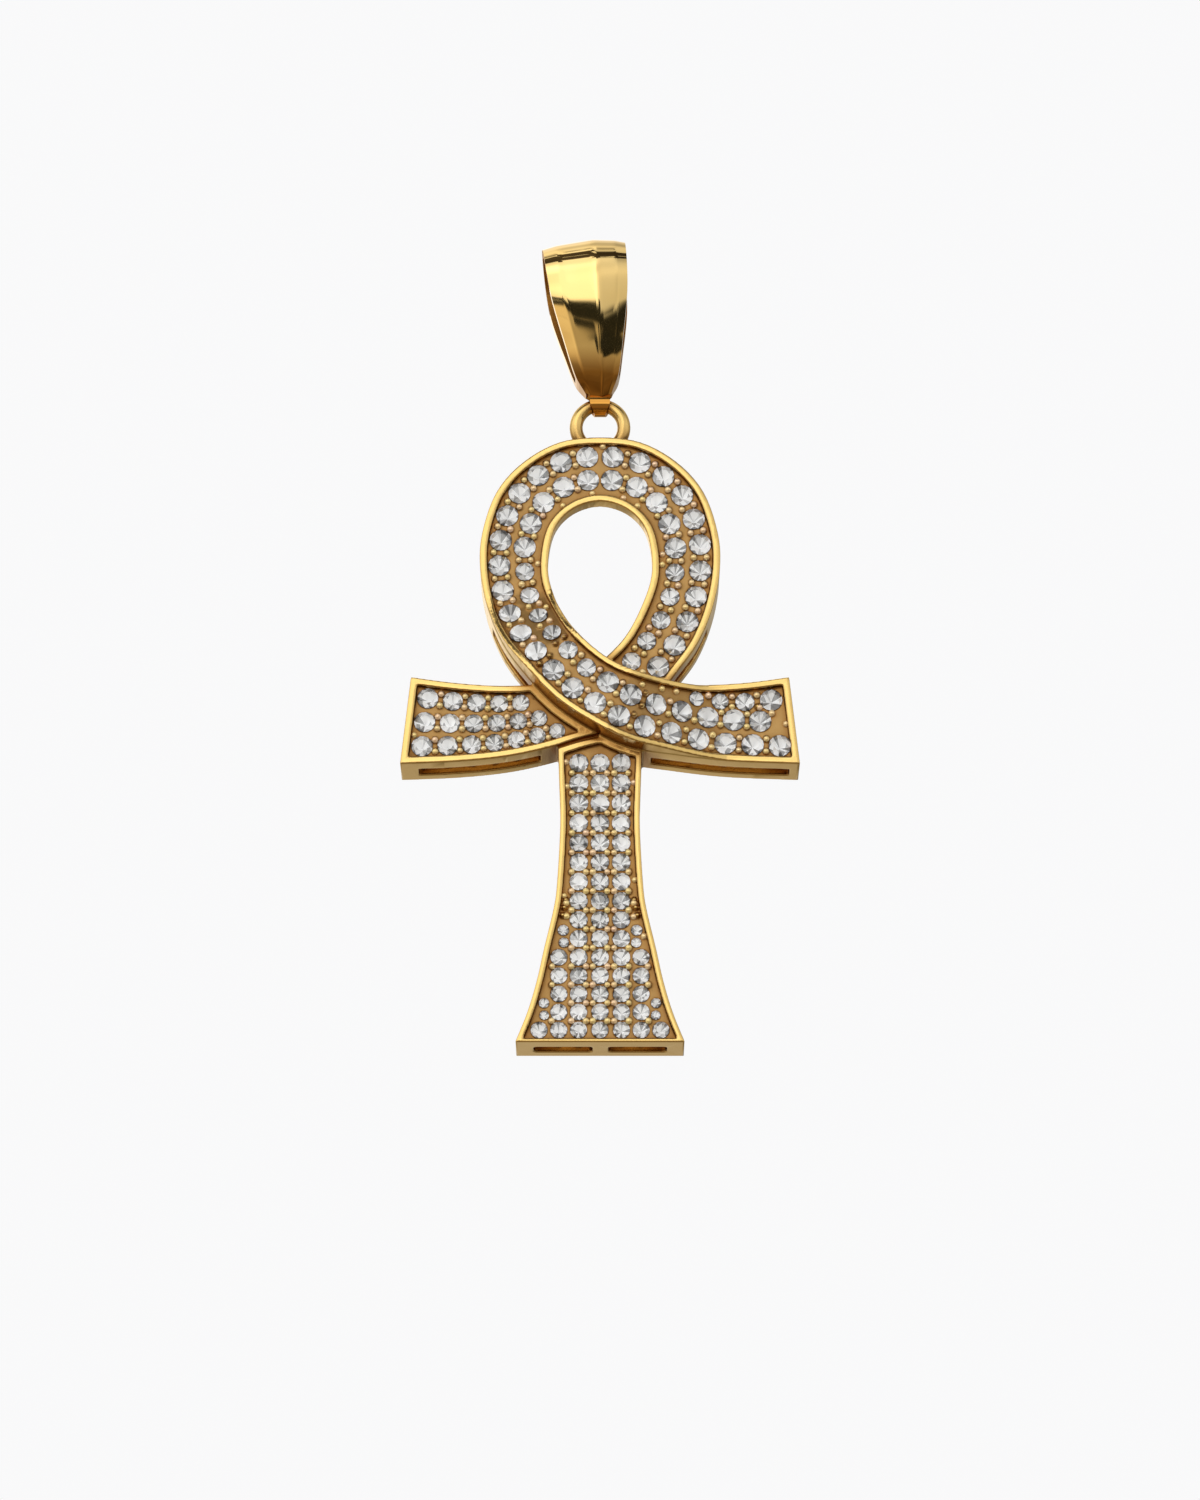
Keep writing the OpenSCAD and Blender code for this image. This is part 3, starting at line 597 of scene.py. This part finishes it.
class BailSettings(bpy.types.PropertyGroup):
    colour: FloatVectorProperty(
        name="Colour", description="Colour of the polished gold", default=(1.0, 0.75, 0.34), subtype="COLOR",
    )
    warm_colour: FloatVectorProperty(
        name="Warm colour", description="Colour of the polished gold in its warmer patches",
        default=(0.96, 0.65, 0.22), subtype="COLOR",
    )
    roughness: FloatProperty(name="Roughness", description="Roughness of the polish", default=0.03)
    # Painted reflection and shade: the colour painted at the neck as the ring's reflection, and inside the
    # band as shade
    reflection_and_shade_colour: FloatVectorProperty(
        name="Neck colour", description="Colour of the polished gold at the neck, which mirrors the ring",
        default=(0.52, 0.25, 0.05), subtype="COLOR",
    )
    # Heights of the painted reflection at the neck
    neck_from: FloatProperty(
        name="Neck from", description="Height at which the neck's colour starts",
        default=-6.2 * MM, unit="LENGTH",
    )
    neck_to: FloatProperty(
        name="Neck to", description="Height at which the neck's colour is full",
        default=-7.7 * MM, unit="LENGTH",
    )
    band_up: FloatProperty(
        name="Band up", description="Height of the middle of the band's channel",
        default=-3.0 * MM, unit="LENGTH",
    )
    crease: FloatProperty(
        name="Crease", description="How crisp the ridges along the band are", default=0.72, subtype="FACTOR",
    )
    levels: IntProperty(name="Levels", description="Times that the band's faces are divided", default=3)


class StoneSettings(bpy.types.PropertyGroup):
    table: FloatProperty(name="Table", description="Width of the table to the girdle's", default=0.56)
    crown: FloatProperty(name="Crown", description="Height of the crown to the radius", default=0.32)
    pavilion: FloatProperty(name="Pavilion", description="Depth of the pavilion to the radius", default=0.86)
    grown: FloatProperty(
        name="Grown", description="How much the stones are larger than the frame's, whose edges are straight",
        default=1.05, subtype="FACTOR",
    )
    gloss: FloatProperty(
        name="Gloss", description="Share of the light that the crown sends back",
        default=0.15, subtype="FACTOR",
    )
    # The light and dark facet colours are painted reflections
    colour: FloatVectorProperty(
        name="Colour", description="Colour of the light facets", default=(0.97, 0.98, 1.0), subtype="COLOR",
    )
    dark_reflection_colour: FloatVectorProperty(
        name="Dark colour", description="Colour of the dark facets", default=(0.03, 0.03, 0.035),
        subtype="COLOR",
    )


class BeadSettings(bpy.types.PropertyGroup):
    width: FloatProperty(
        name="Width", description="Width of a bead in the frame", default=0.32 * MM, unit="LENGTH",
    )
    gap: FloatProperty(
        name="Gap", description="Gap between a bead and its stones in the frame",
        default=0.05 * MM, unit="LENGTH",
    )
    off: FloatProperty(
        name="Off", description="Least distance of a bead from the line of its row, to the stones' diameter",
        default=0.31, subtype="FACTOR",
    )
    apart: FloatProperty(
        name="Apart", description="Stones whose middles are further apart have no bead between them",
        default=1.9 * MM, unit="LENGTH",
    )
    stone_room: FloatProperty(
        name="Stone room", description="Least distance of a filling bead's middle from a stone's edge",
        default=0.2 * MM, unit="LENGTH",
    )
    rim_room: FloatProperty(
        name="Rim room", description="Least distance of a filling bead's middle from a rim",
        default=0.2 * MM, unit="LENGTH",
    )
    grown: FloatProperty(
        name="Grown", description="How much the beads are larger than the frame's, to hold the stones",
        default=1.25, subtype="FACTOR",
    )
    pale_colour: FloatVectorProperty(
        name="Pale colour", description="Colour of the yellow beads",
        default=(1.0, 0.78, 0.34), subtype="COLOR",
    )
    rose_colour: FloatVectorProperty(
        name="Rose colour", description="Colour of the rosy beads",
        default=(1.0, 0.72, 0.50), subtype="COLOR",
    )


class StageSettings(bpy.types.PropertyGroup):
    floor_down: FloatProperty(
        name="Floor", description="How far the floor lies below the bail", default=0.45, unit="LENGTH",
    )
    floor_radius: FloatProperty(
        name="Floor radius", description="Radius of the floor", default=6.0, unit="LENGTH",
    )
    window_strength: FloatProperty(name="Window", description="Brightness of the tent's window", default=0.7)
    pale: FloatVectorProperty(
        name="Pale", description="Colour of the floor and the backdrop", default=(0.95, 0.95, 0.955),
        subtype="COLOR",
    )


class OBJECT_OT_ankh_casting(bpy.types.Operator):
    """Make the visible casting: the frame's own form with its edges rounded as cast metal's are"""

    bl_idname = "object.ankh_casting"
    bl_label = "Casting"

    def execute(self, context):
        settings = context.scene.ankh_casting
        material = cast_gold(settings)
        thing = add_object("ankh_cast", finished(merged_copy("casting"), "ankh_cast"), material)
        with_modifiers(
            thing,
            ("REMESH", {"mode": "VOXEL", "voxel_size": settings.voxel, "use_smooth_shade": True}),
            ("SMOOTH", {"iterations": settings.rounding, "factor": 0.5}),
            ("DECIMATE", {"ratio": settings.keep}),
        )
        thing.modifiers.new("Normals", "WEIGHTED_NORMAL").keep_sharp = False
        mark_fields(thing.data)
        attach(thing, "ankh")
        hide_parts("casting")
        return {"FINISHED"}


class OBJECT_OT_ankh_bail(bpy.types.Operator):
    """Make the visible bail: the frame's band with smooth bends and crisp ridges"""

    bl_idname = "object.ankh_bail"
    bl_label = "Bail"

    def execute(self, context):
        settings = context.scene.ankh_bail
        bm = merged_copy("bail")
        bmesh.ops.join_triangles(
            bm, faces=bm.faces, angle_face_threshold=JOIN_FLAT, angle_shape_threshold=JOIN_SHAPE
        )
        crease = bm.edges.layers.float.new("crease_edge")
        for edge in bm.edges:
            along = edge.verts[0].co - edge.verts[1].co
            sharp = edge.calc_face_angle(math.pi)
            is_bend = abs(along.x) > BEND * along.length
            if sharp > CORNER:
                edge[crease] = 1
            elif sharp > RIDGE and not is_bend:
                edge[crease] = settings.crease
        thing = add_object("polished_bail", finished(bm, "polished_bail"), polished_gold(settings))
        with_modifiers(thing, ("SUBSURF", {"levels": settings.levels, "render_levels": settings.levels}))
        thing.data.shade_smooth()
        thing.data.set_sharp_from_angle(angle=SMOOTH_UNDER)
        # Marks the band's inside faces over the neck, which get the painted shade colour and more roughness
        inside = thing.data.attributes.new("inside", "FLOAT", "FACE")
        for face, mark in zip(thing.data.polygons, inside.data):
            out = face.center - settings.band_up * Vector((0, 0, 1))
            out.x = 0
            mark.value = out.dot(face.normal) < 0 and face.center.z > settings.neck_to
        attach(thing, "bail")
        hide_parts("bail")
        return {"FINISHED"}


class OBJECT_OT_ankh_stones(bpy.types.Operator):
    """Make the cut stones: a round brilliant in every seat"""

    bl_idname = "object.ankh_stones"
    bl_label = "Stones"

    def execute(self, context):
        settings = context.scene.ankh_stones
        material = clear_stone(settings)
        template = brilliant(settings)
        draw = random.Random(STONE_SEED)
        for node, name in STONE_NODES.items():
            bm = bmesh.new()
            for layer in ("facet", "pavilion", "outer"):
                bm.faces.layers.float.new(layer)
            for corners in islands(node):
                have = len(bm.verts)
                faces = len(bm.faces)
                bm.from_mesh(template)
                bm.verts.ensure_lookup_table()
                bm.faces.ensure_lookup_table()
                facet = bm.faces.layers.float["facet"]
                outer = bm.faces.layers.float["outer"]
                turn = Matrix.Rotation(draw.uniform(0, math.pi / 4), 4, "Z")
                place = stone_place(corners) @ turn @ Matrix.Scale(settings.grown, 4)
                bmesh.ops.transform(bm, matrix=place, verts=bm.verts[have:])
                for face in bm.faces[faces:]:
                    # Painted reflection: the table is painted white, the other facets light or dark at
                    # random, darker along the girdle
                    is_table = len(face.verts) == 8
                    levels = OUTER_REFLECTION_LEVELS if face[outer] else INNER_REFLECTION_LEVELS
                    face[facet] = 1 if is_table else draw.choice(levels)
            thing = add_object(name, finished(bm, name), material)
            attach(thing, "ankh")
            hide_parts(node)
        return {"FINISHED"}


class OBJECT_OT_ankh_beads(bpy.types.Operator):
    """Make the prong beads: small balls beside the gaps of a row, and where a floor has room left"""

    bl_idname = "object.ankh_beads"
    bl_label = "Beads"

    def execute(self, context):
        settings = context.scene.ankh_beads
        material = bead_gold(settings)
        draw = random.Random(BEAD_SEED)
        cast = bpy.data.objects["ankh_cast"].data
        for node, name in BEADS_OF.items():
            bm = bmesh.new()
            rose = bm.faces.layers.float.new("rose")
            stones = [stone_place(corners) for corners in islands(node)]
            beads = bead_places(stones, settings)
            beads += filling_places(cast, stones, beads, settings)
            for place, up in beads:
                turn = up.to_track_quat("Z", "Y").to_matrix().to_4x4()
                size = 0.5 * settings.grown * settings.width * draw.uniform(*BALL_SIZES)
                ball = bmesh.ops.create_uvsphere(
                    bm, u_segments=BALL_SEGMENTS, v_segments=BALL_RINGS, radius=size,
                    matrix=Matrix.Translation(place) @ turn,
                )
                tint = draw.random() ** 2
                for face in {face for vert in ball["verts"] for face in vert.link_faces}:
                    face[rose] = tint
                    face.smooth = True
            thing = add_object(name, finished(bm, name), material)
            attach(thing, "ankh")
        return {"FINISHED"}


class SCENE_OT_ankh_stage(bpy.types.Operator):
    """Set up the floor, the light tent and the camera"""

    bl_idname = "scene.ankh_stage"
    bl_label = "Stage"

    def execute(self, context):
        settings = context.scene.ankh_stage
        self.make_floor(settings)
        self.make_world(settings)
        self.make_lights()
        self.make_camera(context.scene)
        context.scene.view_settings.view_transform = "Standard"
        return {"FINISHED"}

    def make_floor(self, settings):
        bm = bmesh.new()
        place = Matrix.Translation((0, 0, -settings.floor_down))
        bmesh.ops.create_circle(bm, cap_ends=True, segments=96, radius=settings.floor_radius, matrix=place)
        shader = new_material("pale_floor")
        surface = shader.add("ShaderNodeBsdfPrincipled", {}, {
            "Base Color": opaque(settings.pale),
            "Roughness": 0.8,
        })
        shader.add("ShaderNodeOutputMaterial", {}, {"Surface": surface})
        floor = add_object("floor", finished(bm, "floor"), shader.owner)
        floor.visible_glossy = False
        floor.visible_transmission = False
        floor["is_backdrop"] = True

    def make_world(self, settings):
        """A pale room in view, and a light tent with dark gaps in what the gold mirrors."""
        world = bpy.data.worlds.new("light_tent")
        bpy.context.scene.world = world
        shader = Shader(world)
        way = shader.add("ShaderNodeTexCoord", {}, {}, "Generated")
        aside = shader.part(way, "X")
        ahead = shader.part(way, "Y")
        upward = shader.part(way, "Z")
        blocks = shader.add(
            "ShaderNodeTexVoronoi", {"distance": "CHEBYCHEV"},
            {"Vector": way, "Scale": TENT_BLOCKS}, "Color",
        )
        wobble = 0.5 * shader.noise(way, TENT_WAVES, 1) + 0.5 * shader.part(blocks, "X") - 0.5
        crest = upward.math("MAXIMUM", upward - CREST_FROM, 0.0)
        height = 0.5 + 0.5 * upward + (GAP_SHIFT + CREST_SHIFT * crest) * wobble
        front = shader.add("ShaderNodeValToRGB", {"stops": FRONT_STOPS}, {"Fac": height})
        back = shader.add("ShaderNodeValToRGB", {"stops": BACK_STOPS}, {"Fac": height})
        tent = shader.mix(shader.map_range(ahead, FRONT_END, BACK_START), front, back)
        strength = shader.map_range(shader.noise(way, TENT_PANELS, 0), *PANEL_NOISE, *PANEL_STRENGTH)
        window = settings.window_strength
        for value, ends in (
            (aside, WINDOW_RIGHT),
            (aside, WINDOW_LEFT),
            (upward, WINDOW_LOW),
            (upward, WINDOW_HIGH),
        ):
            window = window * shader.map_range(value, *ends, smooth=True)
        dim = shader.map_range(aside, DIM_FROM, DIM_TO, 1.0, DIMMEST)
        strength = strength * dim + window
        tent_light = shader.add("ShaderNodeBackground", {}, {"Color": tent, "Strength": strength})
        room = shader.add("ShaderNodeBackground", {}, {"Color": opaque(settings.pale), "Strength": 1.0})
        seen = shader.add("ShaderNodeLightPath", {}, {}, "Is Camera Ray")
        both = shader.add("ShaderNodeMixShader", {}, {0: seen, 1: tent_light, 2: room})
        shader.add("ShaderNodeOutputWorld", {}, {"Surface": both})

    def make_lights(self):
        """Two soft boxes, above left and right of the camera."""
        for name, place, width, power in SOFT_BOXES:
            light = bpy.data.lights.new(name, "AREA")
            light.shape = "SQUARE"
            light.size = width
            light.energy = power
            lamp = bpy.data.objects.new(name, light)
            lamp.location = place
            lamp.rotation_euler = (CENTRE - Vector(place)).to_track_quat("-Z", "Y").to_euler()
            lamp.visible_glossy = False
            bpy.context.scene.collection.objects.link(lamp)

    def make_camera(self, scene):
        up = math.radians(LOOKS_UP)
        ahead = Vector((0, math.cos(up), math.sin(up)))
        data = bpy.data.cameras.new("camera")
        data.sensor_fit = "HORIZONTAL"
        data.lens = data.sensor_width * DISTANCE / (PHOTO_WIDTH * PIXEL)
        data.clip_start = 0.01
        data.clip_end = 100
        camera = bpy.data.objects.new("camera", data)
        camera.location = CENTRE - DISTANCE * ahead
        camera.rotation_euler = ahead.to_track_quat("-Z", "Y").to_euler()
        scene.collection.objects.link(camera)
        scene.camera = camera


class VIEW3D_PT_ankh(bpy.types.Panel):
    bl_label = "Ankh Pendant"
    bl_space_type = "VIEW_3D"
    bl_region_type = "UI"
    bl_category = "Ankh"

    def draw(self, context):
        for operator, group in STEPS:
            box = self.layout.box()
            box.operator(operator.bl_idname)
            settings = getattr(context.scene, group)
            for name in settings.__annotations__:
                box.prop(settings, name)


STEPS = (
    (SCENE_OT_ankh_stage, "ankh_stage"),
    (OBJECT_OT_ankh_casting, "ankh_casting"),
    (OBJECT_OT_ankh_bail, "ankh_bail"),
    (OBJECT_OT_ankh_stones, "ankh_stones"),
    (OBJECT_OT_ankh_beads, "ankh_beads"),
)
GROUPS = {
    "ankh_stage": StageSettings,
    "ankh_casting": CastingSettings,
    "ankh_bail": BailSettings,
    "ankh_stones": StoneSettings,
    "ankh_beads": BeadSettings,
}


def register():
    for name, group in GROUPS.items():
        bpy.utils.register_class(group)
        setattr(bpy.types.Scene, name, PointerProperty(type=group))
    for operator, _ in STEPS:
        bpy.utils.register_class(operator)
    bpy.utils.register_class(VIEW3D_PT_ankh)


def unregister():
    bpy.utils.unregister_class(VIEW3D_PT_ankh)
    for operator, _ in STEPS:
        bpy.utils.unregister_class(operator)
    for name, group in GROUPS.items():
        delattr(bpy.types.Scene, name)
        bpy.utils.unregister_class(group)


def main():
    register()
    bpy.ops.scene.ankh_stage()
    bpy.ops.object.ankh_casting()
    bpy.ops.object.ankh_bail()
    bpy.ops.object.ankh_stones()
    bpy.ops.object.ankh_beads()
    seen_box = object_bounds()
    sizes = {name: [list(corner) for corner in box] for name, box in (("cad", CAD_BOX), ("seen", seen_box))}


if __name__ == "__main__":
    main()
